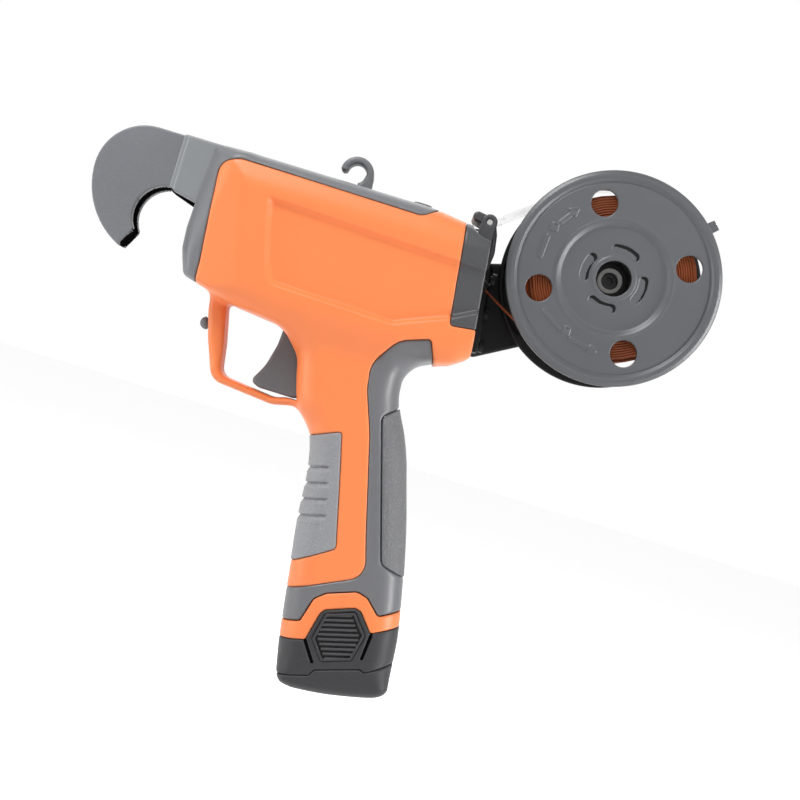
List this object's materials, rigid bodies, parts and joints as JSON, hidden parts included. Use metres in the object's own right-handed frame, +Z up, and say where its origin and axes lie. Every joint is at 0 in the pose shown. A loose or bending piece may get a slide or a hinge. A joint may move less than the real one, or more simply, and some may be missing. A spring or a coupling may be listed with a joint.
{
  "type": "electric vine tying tool",
  "caption": "Pistol-shaped cordless vine tier: hooked jaw in front, trigger handle with slide-out battery, wire reel on a rear arm; feeds, loops, twists and cuts tie wire.",
  "frame": {"origin": "middle of the jaw's mouth, where the vine lies", "axes": "+X from the jaw to the reel, +Z up from the handle to the spine, +Y to the reel arm's side"},
  "size_m": [0.2685, 0.058, 0.2495],
  "materials": {
    "orange_plastic": "satin moulded",
    "grey_plastic": "fine textured",
    "grey_rubber": "soft textured",
    "jaw_grey": "satin moulded",
    "nose_grey": "satin moulded",
    "black_plastic": "satin moulded",
    "trigger_grey": "satin moulded",
    "reel_grey": "fine textured",
    "tie_wire": "coated wire",
    "clear_plastic": "clear",
    "steel": "plain",
    "motor_can": "plain",
    "brass": "plain",
    "board_green": "solder mask",
    "cell_wrap": "shrink wrap",
    "pale_plastic": "satin moulded",
    "battery_grey": "fine textured",
    "black_steel": "blackened"
  },
  "bodies": {
    "body": {"left_shell": "orange_plastic", "right_shell": "orange_plastic", "front_cover": "grey_plastic", "rear_cap": "grey_plastic", "hang_hook": "grey_plastic", "arm_screws": "black_steel", "spindle_screw": "black_steel", "handle_back_strap": "grey_rubber", "front_grip_pad": "grey_rubber", "rear_grip_pad": "grey_rubber", "jaw_left_plate": "jaw_grey", "jaw_right_plate": "jaw_grey", "nose_block": "nose_grey", "jaw_wire_guide": "black_plastic", "reel_arm": "black_plastic", "keeper_tab": "black_plastic", "trigger_switch": "black_plastic", "terminal_block": "black_plastic", "drive_mount": "black_plastic", "motor_ring": "black_plastic", "feed_frame": "black_plastic", "tie_wire_feed": "tie_wire", "keeper_strip": "clear_plastic", "shell_screws": "steel", "latch_pin": "steel", "latch_spring": "steel", "twister_bearing": "steel", "gearbox": "steel", "wire_guide_tube": "steel", "wire_tail": "steel", "twist_motor": "motor_can", "feed_motor": "motor_can", "wire_inlet_bush": "brass", "control_board": "board_green", "reel_spindle": "pale_plastic"},
    "trigger": {"trigger": "trigger_grey"},
    "guard_button": {"guard_button": "grey_rubber"},
    "spine_button": {"spine_button": "grey_rubber"},
    "latch_lever": {"latch_lever": "grey_plastic"},
    "reel": {"reel_front_flange": "reel_grey", "reel_back_flange": "reel_grey", "reel_hub": "reel_grey", "wire_core": "tie_wire", "wire_winding": "tie_wire"},
    "battery": {"battery_stem": "black_plastic", "battery_cells": "cell_wrap", "battery_bezel": "orange_plastic", "battery_case": "battery_grey", "battery_bottom_cover": "battery_grey", "battery_contacts": "brass"},
    "release_left": {"release_tab_left": "battery_grey"},
    "release_right": {"release_tab_right": "battery_grey"},
    "twister": {"twister": "steel"},
    "feed_roller": {"feed_roller": "steel"},
    "feed_pinion": {"feed_pinion": "steel"},
    "pinch_roller": {"pinch_roller": "steel"},
    "cutter": {"cutter_blade": "steel"}
  },
  "joints": [
    {"name": "trigger_pull", "type": "slide", "parent": "body", "child": "trigger", "axis": [1, 0, 0], "range_m": [0, 0.0065], "stiffness_N_per_m": 500, "springref_m": -0.002},
    {"name": "guard_button_press", "type": "slide", "parent": "body", "child": "guard_button", "axis": [0.9614, 0, 0.2751], "range_m": [0, 0.0008], "stiffness_N_per_m": 700, "springref_m": -0.0005},
    {"name": "spine_button_press", "type": "slide", "parent": "body", "child": "spine_button", "axis": [0, 0, -1], "range_m": [0, 0.0008], "stiffness_N_per_m": 700, "springref_m": -0.0005},
    {"name": "latch_turn", "type": "hinge", "parent": "body", "child": "latch_lever", "pos_m": [0.1316, 0, 0.0405], "axis": [0, -1, 0], "range_deg": [0, 14], "stiffness_Nm_per_rad": 0.15, "springref_deg": -2.86, "deforming": ["latch_spring"]},
    {"name": "reel_spin", "type": "hinge", "parent": "body", "child": "reel", "pos_m": [0.1875, 0, 0.0318], "axis": [0, 1, 0], "continuous": true},
    {"name": "battery_slide", "type": "slide", "parent": "body", "child": "battery", "axis": [0.1822, 0, -0.9833], "range_m": [0, 0.075]},
    {"name": "release_left_press", "type": "slide", "parent": "battery", "child": "release_left", "axis": [0, 1, 0], "range_m": [0, 0.0012], "stiffness_N_per_m": 700, "springref_m": -0.0005},
    {"name": "release_right_press", "type": "slide", "parent": "battery", "child": "release_right", "axis": [0, -1, 0], "range_m": [0, 0.0012], "stiffness_N_per_m": 700, "springref_m": -0.0005},
    {"name": "twister_spin", "type": "hinge", "parent": "body", "child": "twister", "pos_m": [0.02, 0, 0], "axis": [1, 0, 0], "continuous": true},
    {"name": "feed_spin", "type": "hinge", "parent": "body", "child": "feed_roller", "pos_m": [0.12, 0, 0.0115], "axis": [0, 1, 0], "continuous": true},
    {"name": "pinion_spin", "type": "hinge", "parent": "body", "child": "feed_pinion", "pos_m": [0.124, 0, -0.00482], "axis": [0, 1, 0], "continuous": true},
    {"name": "pinch_spin", "type": "hinge", "parent": "body", "child": "pinch_roller", "pos_m": [0.12, 0, 0.024], "axis": [0, 1, 0], "continuous": true},
    {"name": "cutter_stroke", "type": "slide", "parent": "body", "child": "cutter", "axis": [0, 0, 1], "range_m": [0, 0.003], "stiffness_N_per_m": 700, "springref_m": -0.0005}
  ],
  "couplings": [
    {"joint": "pinion_spin", "follows": "feed_spin", "ratio": -2.5},
    {"joint": "pinch_spin", "follows": "feed_spin", "ratio": -1.2}
  ]
}
